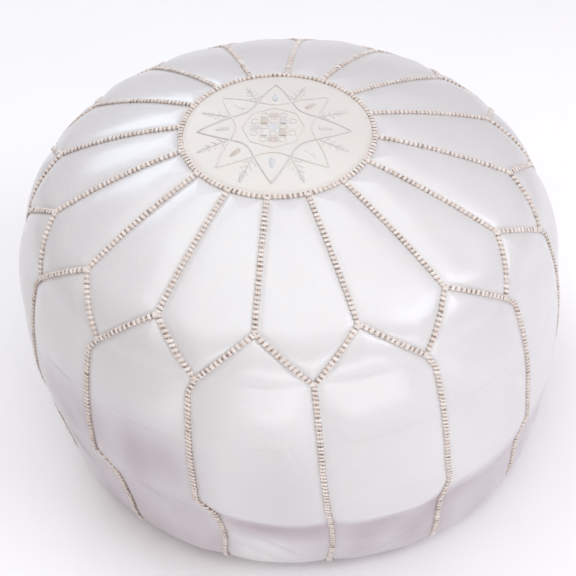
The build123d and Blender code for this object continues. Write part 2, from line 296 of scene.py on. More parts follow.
def relief(azimuth, distance, place):
    """Height of the stuffed leather over the plain outline."""
    gap = seam_gap(azimuth, distance)
    height = place[..., 2]
    off = from_front(azimuth)
    on_top = distance < RING
    on_side = smooth_step(distance, TIP - 0.03, TIP + 0.05) * (distance < BASE_SEAM)
    on_base = distance > BASE_SEAM

    # Each panel swells between its seams, which lie in grooves.
    full = np.where(on_top, 0.6, 1.7 - 0.8 * on_side * (height < 0.2)) * MM
    full = np.where(on_base, 0.2 * MM, full)
    clear = np.maximum(gap - 2.3 * MM, 0.0)
    edge = 1 - np.exp(-(clear / (2.8 * MM)) ** 2)
    swell = 1 - np.exp(-(clear / ((11.0 + 4.0 * on_side) * MM)) ** 2)
    lift = GROOVE * (edge - 1) + full * swell

    # Uneven stuffing, and small puckers where the thread pulls.
    soft = swell * np.where(on_top, 0.2, 1.0) * ~on_base
    lift += soft * (1.3 * noise(place, 0.085) + 0.6 * noise(place, 0.04, 1)) * MM
    pucker = noise(place, 0.009, 2) * np.exp(-gap / 0.009) * edge
    lift += 0.32 * MM * pucker * ~on_base

    # Slanting creases in the slack leather of the sides.
    slack = on_side * smooth_step(noise(place, 0.11, 3), -0.1, 0.5)
    slanted = place @ np.array([[0.35, 0.0, 0.55], [0.0, 0.35, -0.4], [0.0, 0.0, 1.0]])
    crease = 1 - np.abs(noise(slanted, 0.026, 4))
    lift -= 0.4 * MM * soft * slack * crease ** 3
    lift -= drawn_creases(azimuth, height) * on_side * edge
    lift += slack_fold(azimuth, place, gap) * on_side

    # A fuller brow under the tips, most of all at the front.
    brow = bump(height, BROW, 0.028) * (0.4 + 0.6 * bump(off, 0.0, 1.2))
    lift += 4.8 * MM * brow * swell * on_side
    return lift


def painted_shade(azimuth, distance):
    """Painted shade on the leather, from 0 to 1: most in a band under the fold, where the leather
    turns under, and low on the left.
    """
    place = skin(azimuth, distance, 0.0)
    height, off = place[..., 2], from_front(azimuth)

    # A band of painted shade under the fold, where the turned-under leather faces away from the
    # light. It starts higher at the right and is weaker round the back.
    below = below_fold(azimuth, place, 0.014 * smooth_step(off, 0.25, 0.50) * (off < 1.4))
    blur = 14.0 - 8.0 * bump(off, 0.25, 0.35)
    dull = smooth_step(below, -blur, 6.0 + blur)
    strength = 0.30 + 0.38 * bump(off, 0.0, 1.3) + 0.22 * bump(off, 0.20, 0.35)
    dull *= strength + 0.20 * bump(off, 0.72, 0.30)

    # Left of the front the painted shade is only a dark line, a painted shadow under the fold's
    # crease, with less painted shade under it.
    front_left = bump(off, -0.26, 0.24)
    lighter_below = (0.15 + 0.70 * front_left) * smooth_step(below, 26.0 - 8.0 * front_left, 40.0)
    dull = dull * (1 - lighter_below) + 0.45 * front_left * bump(below, 10.0, 8.0)

    # The whole lower left is darkened with painted shade.
    left = smooth_step(-off, 0.28, 0.46) * (1 - smooth_step(-off, 0.9, 1.5))
    left += 0.27 * bump(off, -0.13, 0.14)
    left_shade = left * (1 - smooth_step(height, 0.150, 0.235))
    # Noise makes the painted shade uneven.
    uneven_shade = 0.85 + 0.3 * noise(place * np.array([1.0, 1.0, 0.5]), 0.022, 8)
    dull = np.maximum(dull, 0.9 * left_shade)
    return np.clip(dull * uneven_shade, 0.0, 1.0) * (distance > TIP)


def twist(azimuth, height):
    """Angle by which the skin is turned about Z.

    The front's seams splay out below the tips, kink at the fold and run on beside their line.
    """
    off = from_front(azimuth)
    near = bump(off, 0.0, math.radians(80))
    splay = 0.066 * off * near * (1 - smooth_step(height, 0.240, 0.257))
    kink = KINK - 0.020 * np.sin(off)
    reach = 0.013 + 0.040 * smooth_step(off, -0.1, 0.4)
    under = 1 - np.exp(-np.maximum(kink - height, 0.0) / reach)
    before = math.radians(1.2) * np.sin(off) * bump(height, kink + 0.004, 0.014)
    shift = math.radians(0.4) - math.radians(8.0) * np.sin(off)
    foot = math.radians(2.0) * bump(off, -0.35, 0.6) * (1 - smooth_step(height, 0.012, 0.075))
    return splay + near * (before + shift * under) - foot


def settle(points):
    """Lean and tilt of the stuffed body, and the flat ring where it meets the floor."""
    x, y, z = np.moveaxis(points, -1, 0)
    levels = [0.0, 0.167, 0.255, 0.333]
    lean_x = np.interp(z, levels, [0.0, -6.5 * MM, -7.0 * MM, -8.2 * MM])
    lean_y = np.interp(z, levels, [0.0, 0.0, 0.0, -20.0 * MM])
    upper = np.clip((z - levels[1]) / (levels[3] - levels[1]), 0.0, 1.0)
    tilt = upper * (0.046 * y - 0.042 * x)
    # Squashed against the floor without any layer passing through the next.
    level, soft = z + tilt, 2.2 * MM
    low = FLOOR_GAP + soft * np.exp(np.minimum(level - FLOOR_GAP - soft, 0.0) / soft)
    level = np.where(level < FLOOR_GAP + soft, low, level)
    return np.stack([x + lean_x, y + lean_y, level], -1)


def shape(azimuth, distance, lift=0.0):
    """Places points on the stuffed, leaning body."""
    azimuth, distance, lift = np.broadcast_arrays(azimuth, distance, lift)
    plain = skin(azimuth, distance, 0.0)
    raised = lift + relief(azimuth, distance, plain)
    return settle(skin(azimuth + twist(azimuth, plain[..., 2]), distance, raised))


# ---------------------------------------------------------------- meshes

class Mould:
    """Collects points and faces, then makes one object from them."""

    def __init__(self):
        self.points, self.faces, self.marks, self.count = [], [], [], 0
        # Painted shade of every point, for the leather material.
        self.dull = []

    def add(self, points, faces, mark=0, dull=0.0):
        """points is (n, 3). faces is a list of arrays of corners, one row to a face."""
        for group in faces:
            self.faces.append(group + self.count)
            self.marks.append(np.full(len(group), mark))
        self.points.append(points.reshape(-1, 3))
        self.count += len(self.points[-1])
        self.dull.append(np.broadcast_to(dull, len(self.points[-1])))

    def make(self, name, materials, node):
        """One object in place of a CAD node. A face's mark is its place in materials."""
        mesh = bpy.data.meshes.new(name)
        points = np.concatenate(self.points)
        sizes = np.concatenate([np.full(len(group), group.shape[1]) for group in self.faces])
        corners = np.concatenate([group.ravel() for group in self.faces])
        mesh.vertices.add(len(points))
        mesh.vertices.foreach_set("co", points.astype(np.float32).ravel())
        mesh.loops.add(len(corners))
        mesh.loops.foreach_set("vertex_index", corners.astype(np.int32))
        mesh.polygons.add(len(sizes))
        starts = np.concatenate([[0], np.cumsum(sizes)[:-1]])
        mesh.polygons.foreach_set("loop_start", starts.astype(np.int32))
        mesh.polygons.foreach_set("material_index", np.concatenate(self.marks).astype(np.int32))
        for material in materials:
            mesh.materials.append(material)
        mesh.update(calc_edges=True)
        # Painted shade per point, as an attribute that the leather material reads.
        dull = mesh.attributes.new("painted_shade", "FLOAT", "POINT")
        dull.data.foreach_set("value", np.concatenate(self.dull).astype(np.float32))
        mesh.validate()
        mesh.shade_smooth()
        mesh.set_sharp_from_angle(angle=math.radians(55))
        piece = bpy.data.objects.new(name, mesh)
        bpy.context.scene.collection.objects.link(piece)
        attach(piece, BODY)
        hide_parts(node)
        return piece


def grid_faces(rows, columns, wrap=False, flip=False):
    """Faces of a grid of points in rows. wrap joins the last column to the first."""
    across = columns if wrap else columns - 1
    i, j = np.meshgrid(np.arange(rows - 1), np.arange(across), indexing="ij")
    after = (j + 1) % columns
    quads = np.stack([i * columns + j, (i + 1) * columns + j,
                      (i + 1) * columns + after, i * columns + after], -1).reshape(-1, 4)
    return quads[:, ::-1] if flip else quads


def rim_faces(rows, columns):
    """Faces that close the edge between a grid and the same grid behind it."""
    index = np.arange(rows * columns).reshape(rows, columns)
    loop = np.concatenate([index[0, :-1], index[:-1, -1], index[-1, :0:-1], index[:0:-1, 0]])
    after = np.roll(loop, -1)
    behind = rows * columns
    return np.stack([loop, after, after + behind, loop + behind], -1)


def add_slab(mould, azimuth, distance):
    """A sheet of leather: its face, its back and the edge between them."""
    rows, columns = azimuth.shape
    face, back = shape(azimuth, distance), shape(azimuth, distance, -LEATHER)
    points = np.concatenate([face.reshape(-1, 3), back.reshape(-1, 3)])
    count = rows * columns
    # Each point carries its painted shade.
    mould.add(points, [grid_faces(rows, columns), grid_faces(rows, columns, flip=True) + count,
                       rim_faces(rows, columns)],
              dull=np.tile(painted_shade(azimuth, distance).ravel(), 2))


def add_tubes(mould, paths, radii, to_body, sides, mark=0, flatness=1.0, plies=0):
    """Closed tubes along arches. paths is (tubes, stations, 3), in local x, y and height.

    radii are half widths, and to_body places local points on the pouf. flatness is depth over
    width, and plies are grooves along the strand.
    """
    tubes, stations, _ = paths.shape
    run = paths[:, -1] - paths[:, 0]
    flat = np.stack([run[:, 1], -run[:, 0], 0 * run[:, 0]], -1)
    flat /= np.linalg.norm(flat, axis=-1, keepdims=True)
    ahead = np.gradient(paths, axis=1)
    ahead /= np.linalg.norm(ahead, axis=-1, keepdims=True)
    out = np.cross(np.broadcast_to(flat[:, None], ahead.shape), ahead)
    angle = np.linspace(0, 2 * math.pi, sides, endpoint=False)[:, None]
    ply = 1 + 0.16 * (np.cos(plies * math.pi * np.cos(angle)) - 1) / 2
    offset = (np.cos(angle) * flat[:, None, None]
              + flatness * ply * np.sin(angle) * out[:, :, None])
    points = paths[:, :, None] + radii[:, :, None, None] * offset
    each = grid_faces(stations, sides, wrap=True)
    starts = np.arange(tubes)[:, None, None] * stations * sides
    ends = np.stack([np.arange(sides), (stations - 1) * sides + np.arange(sides)[::-1]])
    mould.add(to_body(points), [(each + starts).reshape(-1, 4),
                                (ends + starts).reshape(-1, sides)], mark)


class Seam:
    """A seam's centre line on the skin, and the stitches spaced evenly along it."""

    def __init__(self, azimuth, distance, closed=False, pitch=STITCH_PITCH):
        radius = radius_at((distance[1:] + distance[:-1]) / 2)
        steps = np.hypot(np.diff(azimuth) * radius, np.diff(distance))
        self.along = np.concatenate([[0.0], np.cumsum(steps)])
        self.length, self.closed = self.along[-1], closed
        self.azimuth, self.distance = azimuth, distance
        self.count = max(1, round(self.length / pitch))
        self.pitch = self.length / self.count

    def at(self, along):
        """Azimuth, distance and the unit direction of the seam, flat on the skin."""
        def where(value):
            return (np.interp(value, self.along, self.azimuth),
                    np.interp(value, self.along, self.distance))
        azimuth, distance = where(along)
        step = 1.5 * MM
        low, high = np.clip(along - step, 0, self.length), np.clip(along + step, 0, self.length)
        (az0, at0), (az1, at1) = where(low), where(high)
        ahead = np.stack([(az1 - az0) * radius_at(distance), at1 - at0], -1)
        ahead /= np.linalg.norm(ahead, axis=-1, keepdims=True)
        return azimuth, distance, ahead

    def lay(self, along, lateral, lift, further=0.0):
        """Points beside the seam. Positive lateral is to the seam's left, seen from outside."""
        azimuth, distance, ahead = self.at(along)
        across = lateral * ahead[..., 1] + further * ahead[..., 0]
        down = further * ahead[..., 1] - lateral * ahead[..., 0]
        radius = np.maximum(radius_at(distance), 1 * MM)
        return shape(azimuth + across / radius, distance + down, lift)


def straight_seam(azimuth, start, stop):
    at = np.linspace(start, stop, 200)
    return Seam(np.full(at.shape, azimuth), at)


def slanting_seam(tip_azimuth, side):
    """Chevron seam from a shoulder to a tip. side is -1 or 1: the shoulder's side."""
    angle = CHEVRON_ANGLE[::-1]
    return Seam(tip_azimuth + side * angle, CHEVRON_AT[::-1], pitch=CHEVRON_PITCH)


def round_seam(distance):
    turn = np.linspace(0, 2 * math.pi, 721) + FIRST_SEAM
    return Seam(turn, np.full(turn.shape, distance), closed=True)


SEAM_AZIMUTHS = [FIRST_SEAM + 2 * HALF * k for k in range(PANELS)]
TIP_AZIMUTHS = [FIRST_TIP + 2 * HALF * k for k in range(PANELS)]
RADIAL_SEAMS = [straight_seam(azimuth, RING, SHOULDER) for azimuth in SEAM_AZIMUTHS]
SIDE_SEAMS = [straight_seam(azimuth, TIP, BASE_SEAM) for azimuth in TIP_AZIMUTHS]
LEFT_CHEVRONS = [slanting_seam(azimuth, -1) for azimuth in TIP_AZIMUTHS]
RIGHT_CHEVRONS = [slanting_seam(azimuth, 1) for azimuth in TIP_AZIMUTHS]
RING_SEAM = round_seam(RING)
BOTTOM_SEAM = round_seam(BASE_SEAM)


def add_lip(mould, seam, side, start=0.0, stop=None):
    """The raw edge of a panel, standing up beside a seam, pinched in by every stitch."""
    stop = seam.length if stop is None else stop
    whole = seam.closed and stop - start >= seam.length - MM
    count, sides = int((stop - start) / LIP_STEP), 8
    along = np.linspace(start, stop, count, endpoint=not whole)
    pinch = (0.5 + 0.5 * np.cos(2 * math.pi * (along / seam.pitch - 0.5))) ** 2
    radius = LIP * (1 - 0.15 * pinch)
    if not whole:
        end = np.minimum(along - start, stop - along)
        radius = radius * np.sqrt(1 - (1 - np.clip(end / (1.2 * MM), 0.02, 1.0)) ** 2)
    angle = np.linspace(0, 2 * math.pi, sides, endpoint=False)
    lateral = side * (LIP + radius[:, None] * np.cos(angle))
    lift = LIP_HEIGHT + 1.25 * radius[:, None] * np.sin(angle)
    points = seam.lay(np.broadcast_to(along[:, None], lateral.shape), lateral, lift)
    first = np.arange(sides)
    last = (count - 1) * sides + first
    if whole:
        close = np.stack([last, first, np.roll(first, -1), np.roll(last, -1)], -1)
    else:
        close = np.stack([first, last[::-1]])
    faces = [grid_faces(count, sides, wrap=True), close]
    mould.add(points, [group[:, ::-1] for group in faces] if side > 0 else faces, mark=1)


def add_bottom_lip(mould, side, start, length):
    """A lip on a stretch of the base seam, which may run past the seam's first point."""
    whole = BOTTOM_SEAM.length
    for low, high in ((start, min(start + length, whole)), (0.0, start + length - whole)):
        if high - low > 2 * MM:
            add_lip(mould, BOTTOM_SEAM, side, low, high)


# ---------------------------------------------------------------- materials

def lin(red, green, blue):
    """Linear colour from 0 to 255 display values."""
    return tuple((v / 255) ** 2.2 for v in (red, green, blue)) + (1.0,)


class Paint:
    """A Principled material and short calls that add nodes to it."""

    def __init__(self, name, **settings):
        self.material = bpy.data.materials.new(name)
        self.material.use_nodes = True
        self.tree = self.material.node_tree
        self.shader = self.tree.nodes["Principled BSDF"]
        self.place = self.tree.nodes.new("ShaderNodeTexCoord").outputs["Object"]
        for socket, value in settings.items():
            self.shader.inputs[socket.replace("_", " ")].default_value = value

    def node(self, kind, settings=(), **inputs):
        """Adds a node. An underscore in an input's name stands for a space."""
        made = self.tree.nodes.new("ShaderNode" + kind)
        for name, value in dict(settings).items():
            setattr(made, name, value)
        for name, value in inputs.items():
            socket = made.inputs[name.replace("_", " ")]
            if isinstance(value, bpy.types.NodeSocket):
                self.tree.links.new(value, socket)
            else:
                socket.default_value = value
        return made

    def stretched(self, scale, rotation=(0, 0, 0)):
        return self.node("Mapping", Vector=self.place, Scale=scale,
                         Rotation=rotation).outputs["Vector"]

    def noise(self, scale, detail=3.0, rough=0.5, place=None):
        return self.node("TexNoise", Vector=place or self.place, Scale=scale, Detail=detail,
                         Roughness=rough).outputs["Fac"]

    def cells(self, scale):
        return self.node("TexVoronoi", Vector=self.place, Scale=scale).outputs["Distance"]

    def ramp(self, value, low, high, to_low=0.0, to_high=1.0):
        """Smoothly maps low to high onto to_low to to_high."""
        return self.node("MapRange", {"interpolation_type": "SMOOTHSTEP"}, Value=value,
                         From_Min=low, From_Max=high, To_Min=to_low, To_Max=to_high
                         ).outputs["Result"]

    def mix(self, share, one, other):
        mixed = self.node("MixRGB")
        for socket, value in zip(mixed.inputs, (share, one, other)):
            if isinstance(value, bpy.types.NodeSocket):
                self.tree.links.new(value, socket)
            else:
                socket.default_value = value
        return mixed.outputs["Color"]

    def relief(self, *layers):
        """Stacks (height, depth) layers of bump."""
        normal = None
        for height, depth in layers:
            inputs = {"Height": height, "Distance": depth, "Strength": 1.0}
            if normal:
                inputs["Normal"] = normal
            normal = self.node("Bump", **inputs).outputs["Normal"]
        self.tree.links.new(normal, self.shader.inputs["Normal"])

    def set(self, socket, value):
        self.tree.links.new(value, self.shader.inputs[socket])


def leather_paint(name, body, shade, warm, low, gloss=1.0):
    """Smooth dressed leather with a fine grain, faint cloudiness and a soft satin sheen.

    It is painted a little grey and mauve with shade where the mesh's shade attribute says: under
    the fold and low on the left.
    """
    paint = Paint(name, Specular_IOR_Level=0.4, Coat_Weight=gloss, Coat_Roughness=0.28,
                  Coat_IOR=1.7)
    cloud = paint.ramp(paint.noise(9.0, 4.0), 0.35, 0.70)
    fleck = paint.ramp(paint.noise(60.0, 4.0), 0.45, 0.75)
    colour = paint.mix(cloud, body, shade)
    colour = paint.mix(paint.ramp(fleck, 0.0, 1.0, 0.0, 0.25), colour, warm)
    # Painted shade: the mesh's attribute mixes in the low colour, under the fold and low on the
    # left.
    dull = paint.node("Attribute", {"attribute_name": "painted_shade"}).outputs["Fac"]
    colour = paint.mix(dull, colour, low)
    paint.set("Base Color", colour)
    grain = paint.cells(850.0)
    veins = paint.noise(240.0, 5.0, 0.6)
    drawn = paint.noise(26.0, 5.0, 0.62, paint.stretched((1.0, 1.0, 2.6), (0.35, 0.2, 0.0)))
    paint.set("Roughness", paint.ramp(paint.noise(75.0, 3.0), 0.3, 0.7, 0.40, 0.52))
    paint.relief((drawn, 0.0009), (veins, 0.00008), (grain, 0.00006))
    return paint.material


def thread_paint(name, light, dark, fibre=2600.0, sheen=0.25):
    """Twisted thread: fine fibres, and a tone of its own for every stitch."""
    paint = Paint(name, Roughness=0.72, Sheen_Weight=sheen, Specular_IOR_Level=0.3)
    own = paint.node("NewGeometry").outputs["Random Per Island"]
    worn = paint.noise(420.0, 3.0)
    maths = paint.node("Math", {"operation": "MULTIPLY_ADD"})
    paint.tree.links.new(own, maths.inputs[0])
    maths.inputs[1].default_value = 0.65
    paint.tree.links.new(worn, maths.inputs[2])
    paint.set("Base Color", paint.mix(paint.ramp(maths.outputs[0], 0.35, 1.15), light, dark))
    paint.relief((paint.noise(fibre, 2.0), 0.00012))
    return paint.material


def edge_paint(name, light, dark):
    """Raw, fibrous edge of tanned leather, patchy in tone."""
    paint = Paint(name, Roughness=0.8, Specular_IOR_Level=0.25)
    patch = paint.ramp(paint.noise(90.0, 3.0), 0.38, 0.66)
    paint.set("Base Color", paint.mix(patch, light, dark))
    paint.relief((paint.noise(1500.0, 3.0), 0.0003))
    return paint.material


def cloth_paint(name, light, dark, weave=1100.0):
    """Plain woven cotton."""
    paint = Paint(name, Roughness=0.88, Sheen_Weight=0.3, Specular_IOR_Level=0.2)
    warp = paint.node("TexWave", {"bands_direction": "X"}, Vector=paint.place, Scale=weave / 6.3,
                      Distortion=1.2, Detail=1.0).outputs["Fac"]
    weft = paint.node("TexWave", {"bands_direction": "Y"}, Vector=paint.place, Scale=weave / 6.3,
                      Distortion=1.2, Detail=1.0).outputs["Fac"]
    paint.set("Base Color", paint.mix(paint.ramp(paint.noise(35.0, 4.0), 0.3, 0.7), light, dark))
    paint.relief((warp, 0.0002), (weft, 0.0002), (paint.noise(900.0, 3.0), 0.0001))
    return paint.material


def metal_paint(name, bright, dull):
    """Rubbed brass: dull in patches, with fine scratches."""
    paint = Paint(name, Metallic=1.0)
    patch = paint.ramp(paint.noise(380.0, 4.0), 0.40, 0.68)
    paint.set("Base Color", paint.mix(patch, bright, dull))
    paint.set("Roughness", paint.ramp(patch, 0.0, 1.0, 0.24, 0.46))
    scratch = paint.noise(700.0, 3.0, 0.6, paint.stretched((0.15, 1.0, 1.0), (0, 0, 0.4)))
    paint.relief((scratch, 0.00006))
    return paint.material


# The fourth colour of each leather is the painted shade that its mesh's shade attribute mixes in.
PANEL_LEATHER = leather_paint("panel_leather", lin(220, 219, 220), lin(215, 213, 215),
                              lin(220, 215, 210), lin(171, 157, 165))
MEDALLION_LEATHER = leather_paint("medallion_leather", lin(224, 221, 216), lin(221, 215, 210),
                                  lin(225, 216, 206), lin(221, 215, 210), gloss=0.2)
BASE_LEATHER = leather_paint("base_leather", lin(222, 218, 214), lin(212, 207, 203),
                             lin(220, 210, 200), lin(214, 207, 205))
RAW_EDGE = edge_paint("raw_edge", lin(215, 200, 190), lin(166, 146, 136))
SEAM_THREAD = thread_paint("seam_thread", lin(236, 229, 224), lin(220, 210, 203))
WHITE_THREAD = thread_paint("white_thread", lin(236, 235, 232), lin(226, 223, 219), 3200.0, 0.4)
GREY_THREAD = thread_paint("grey_thread", lin(224, 222, 221), lin(212, 210, 209), 3200.0, 0.4)
BLUE_THREAD = thread_paint("blue_thread", lin(223, 227, 230), lin(215, 219, 223), 3200.0, 0.4)
BEIGE_THREAD = thread_paint("beige_thread", lin(222, 214, 206), lin(210, 200, 192), 3200.0, 0.4)
ZIP_THREAD = thread_paint("zip_thread", lin(226, 221, 212), lin(206, 198, 188))
TAPE_CLOTH = cloth_paint("tape_cloth", lin(222, 217, 208), lin(206, 199, 190), 1500.0)
BAG_CLOTH = cloth_paint("bag_cloth", lin(228, 221, 205), lin(214, 205, 188))
WADDING = cloth_paint("wadding", lin(238, 236, 232), lin(222, 219, 214), 500.0)
BRASS = metal_paint("zip_brass", lin(214, 184, 120), lin(168, 138, 86))


# ---------------------------------------------------------------- leather pieces

def spread(count, low, high, crowd=0.55):
    """Numbers from low to high, crowded towards both ends."""
    t = np.linspace(-1, 1, count)
    t = (1 - crowd) * t + crowd * t * (1.5 - 0.5 * t * t)
    return low + (high - low) * (t + 1) / 2


def make_petal(number, tip_azimuth):
    """A top panel between two radial seams, with a pointed foot."""
    mould = Mould()
    u, v = np.meshgrid(spread(57, -1, 1), spread(100, 0, 1))
    foot = chevron_at(u * HALF) - CHEVRON_EDGE
    distance = RING + EDGE + v * (foot - RING - EDGE)
    azimuth = tip_azimuth + u * (HALF - EDGE / radius_at(distance))
    add_slab(mould, azimuth, distance)
    add_lip(mould, RADIAL_SEAMS[number], 1)
    add_lip(mould, RADIAL_SEAMS[(number + 1) % PANELS], -1)
    add_lip(mould, LEFT_CHEVRONS[number], 1)
    add_lip(mould, RIGHT_CHEVRONS[number], -1)
    share = RING_SEAM.length / PANELS
    add_lip(mould, RING_SEAM, -1, number * share, (number + 1) * share)
    name = f"petal_{number + 1:02d}"
    piece = mould.make(f"{name}_leather", [PANEL_LEATHER, RAW_EDGE], name)


def make_side_panel(number, azimuth_middle):
    """A side panel with a pointed head, down the side and in under the base."""
    mould = Mould()
    u, v = np.meshgrid(spread(61, -1, 1), spread(230, 0, 1, 0.3))
    head = chevron_at((1 - np.abs(u)) * HALF) + CHEVRON_EDGE
    distance = head + v * (BASE_SEAM - EDGE - head)
    azimuth = azimuth_middle + u * (HALF - EDGE / radius_at(distance))
    add_slab(mould, azimuth, distance)
    before = (number - 1) % PANELS
    add_lip(mould, LEFT_CHEVRONS[number], -1)
    add_lip(mould, RIGHT_CHEVRONS[before], 1)
    add_lip(mould, SIDE_SEAMS[before], 1)
    add_lip(mould, SIDE_SEAMS[number], -1)
    share = BOTTOM_SEAM.length / PANELS
    add_bottom_lip(mould, 1, (number - 0.5) * share % BOTTOM_SEAM.length, share)
    name = f"side_panel_{number + 1:02d}"
    piece = mould.make(f"{name}_leather", [PANEL_LEATHER, RAW_EDGE], name)


def disc_grid(count, radius):
    """Square grid bent to a disc, as azimuth and distance from its centre."""
    x, y = np.meshgrid(np.linspace(-1, 1, count), np.linspace(-1, 1, count))
    disc_x = radius * x * np.sqrt(1 - y * y / 2)
    disc_y = radius * y * np.sqrt(1 - x * x / 2)
    return np.arctan2(disc_y, disc_x), np.hypot(disc_x, disc_y)


def make_medallion():
    mould = Mould()
    azimuth, distance = disc_grid(121, RING - EDGE)
    add_slab(mould, azimuth[:, ::-1], distance[:, ::-1])
    add_lip(mould, RING_SEAM, 1)
    piece = mould.make("medallion_leather", [MEDALLION_LEATHER, RAW_EDGE], "medallion")


def make_leather():
    for number in range(PANELS):
        make_petal(number, TIP_AZIMUTHS[number])
        make_side_panel(number, SEAM_AZIMUTHS[number])
    make_medallion()


# ---------------------------------------------------------------- seam stitches

def add_stitches(mould, seam, rng, slant):
    """A flat strand of floss for every stitch, over both lips of the seam."""
    count = seam.count
    middle = (np.arange(count) + 0.5) * seam.pitch + rng.normal(0, 0.18, count) * MM
    t = np.linspace(-1, 1, 11)
    reach = STITCH_REACH * rng.normal(1.0, 0.05, count)[:, None]
    tall = (STITCH_TOP + STITCH_SUNK) * rng.normal(1.0, 0.06, count)[:, None]
    height = -STITCH_SUNK + tall * np.sqrt(1 - np.abs(t) ** 2.6) - 0.25 * MM * bump(t, 0, 0.35)
    drift = 0.5 * slant * np.sin(np.arange(count) / rng.uniform(7.0, 14.0) + rng.uniform(0, 6))
    lean = (slant + drift + rng.normal(0, 0.10, count))[:, None] * STITCH_REACH
    paths = np.stack([reach * np.sin(t * math.pi / 2), lean * t, height], -1)
    wide = STRAND_WIDTH / 2 * rng.normal(1.0, 0.09, count)[:, None] * (seam.pitch / STITCH_PITCH)
    radii = wide * (1 - 0.35 * t ** 6) / math.hypot(1.0, slant)
    along = middle[:, None, None]

    def to_body(points):
        x, y, z = np.moveaxis(points, -1, 0)
        return seam.lay(np.broadcast_to(along, x.shape), x, z, further=y)

    add_tubes(mould, paths, radii, to_body, 12, flatness=STRAND_DEPTH / STRAND_WIDTH, plies=3)


def add_knot(mould, seam, along, rng):
    """The strand that ties off where seams meet."""
    t = np.linspace(-1, 1, 9)
    turn, reach = math.radians(70.0) + rng.normal(0, 0.3), 2.2 * MM
    height = 1.9 * MM - 2.8 * MM * np.abs(t) ** 3
    path = np.stack([reach * math.cos(turn) * t, reach * math.sin(turn) * t, height], -1)
    radii = np.full((1, len(t)), 0.95 * MM)

    def to_body(points):
        x, y, z = np.moveaxis(points, -1, 0)
        return seam.lay(np.full(x.shape, along), x, z, further=y)

    add_tubes(mould, path[None], radii, to_body, 10, flatness=0.5, plies=3)


def make_seam_threads():
    """Rows hold the seam's name, its part, its runs, the stitches' slant and where knots sit."""
    rng = np.random.default_rng(23)
    half = PANELS // 2
    groups = (
        ("medallion_seam", "", [RING_SEAM], 0.05, ()),
        ("radial_seam", "", RADIAL_SEAMS, 0.10, (1.0,)),
        ("chevron_seam", "", LEFT_CHEVRONS + RIGHT_CHEVRONS, 0.15, ()),
        ("side_seam", "_a", SIDE_SEAMS[:half], 0.60, (0.0,)),
        ("side_seam", "_b", SIDE_SEAMS[half:], 0.60, (0.0,)),
        ("base_seam", "", [BOTTOM_SEAM], 0.1, ()),
    )
    for name, part, seams, slant, knots in groups:
        mould = Mould()
        for seam in seams:
            add_stitches(mould, seam, rng, slant)
            for share in knots:
                add_knot(mould, seam, share * seam.length, rng)
        mould.make(f"{name}_thread{part}", [SEAM_THREAD], f"{name}_stitches")


# ---------------------------------------------------------------- embroidery

# Places in the embroidery's list of materials.
WHITE, GREY, BLUE, BEIGE = range(4)


def disc_to_body(points):
    """Local x and y are laid out flat from the star's centre."""
    x, y, z = np.moveaxis(points, -1, 0)
    x, y = x + STAR_CENTRE[0], y + STAR_CENTRE[1]
    return shape(np.arctan2(y, x) + FIRST_TIP, np.hypot(x, y), z)


def add_threads(mould, starts, ends, radius, colour, arch=0.35 * MM):
    """Short threads lying on the medallion from each start to its end."""
    starts, ends = np.asarray(starts), np.asarray(ends)
    t, sunk = np.linspace(0, 1, 6), 0.25 * MM
    flat = starts[:, None] + (ends - starts)[:, None] * t[:, None]
    height = -sunk + (arch + sunk + radius) * (1 - (2 * t - 1) ** 4)
    height = np.broadcast_to(height, flat.shape[:2])
    paths = np.concatenate([flat, height[..., None]], -1)
    add_tubes(mould, paths, np.full(paths.shape[:2], radius), disc_to_body, 6, mark=colour)


def add_line(mould, points, colour, stitch=2.9 * MM, radius=0.36 * MM):
    """A line of running stitches along a polyline."""
    points = np.asarray(points)
    steps = np.hypot(*np.diff(points, axis=0).T)
    at = np.concatenate([[0], np.cumsum(steps)])
    count = max(1, round(at[-1] / stitch))
    cuts = np.linspace(0, at[-1], count + 1)
    gap = 0.10 * stitch
    starts, ends = [np.stack([np.interp(c, at, points[:, 0]), np.interp(c, at, points[:, 1])], -1)
                    for c in (cuts[:-1] + gap, cuts[1:] - gap)]
    add_threads(mould, starts, ends, radius, colour)


def add_satin(mould, centre, along, across, length, width, colour, pointed=True):
    """A leaf or a square filled with threads laid side by side."""
    count = max(3, round(length / (0.62 * MM)))
    t = (np.arange(count) + 0.5) / count * 2 - 1
    half = width / 2 * (np.sqrt(1 - t * t) * (1 - 0.35 * t) if pointed else np.ones_like(t))
    middle = centre + np.outer(t * length / 2, along)
    side = np.outer(half, across)
    add_threads(mould, middle - side, middle + side, 0.33 * MM, colour, 0.55 * MM)


def turned(angle, x, y=0.0):
    return np.array([x * math.cos(angle) - y * math.sin(angle),
                     x * math.sin(angle) + y * math.cos(angle)])


# The star sits a few millimetres off the medallion's middle. Its lines dip in between its tips.
STAR_TURN = math.radians(-94.0) - FIRST_TIP
STAR_CENTRE = turned(-FIRST_TIP, -0.003, -0.005)
STAR_TIP, STAR_DIP = 0.067, 0.015
STAR_LEAF, OCTAGON = 0.0445, 0.027
SPRIG_END, SPRIG_LEAF = 0.061, 0.0655


def star_arc(middle, share):
    """A point of the curve between two star tips a quarter turn apart, bent inwards."""
    angle = share * math.pi / 4
    chord = STAR_TIP * math.cos(math.pi / 4) / math.cos(angle)
    return turned(middle + angle, chord - STAR_DIP * (1 - share * share))


def add_sprig(mould, angle, root):
    """A stem with three pairs of twigs and a leaf at its end."""
    out, side = turned(angle, 1.0), turned(angle + math.pi / 2, 1.0)
    add_line(mould, [turned(angle, root + 0.003), turned(angle, SPRIG_END)], GREY, 2.2 * MM)
    for j in range(3):
        foot = turned(angle, root + 0.005 + 0.0058 * j)
        for hand in (-1, 1):
            twig = 0.0045 * out + hand * (0.0068 - 0.0013 * j) * side
            add_line(mould, [foot + 0.15 * twig, foot + twig], WHITE, 3.2 * MM)
    add_satin(mould, turned(angle, SPRIG_LEAF), out, side, 0.0085, 0.0036, GREY)


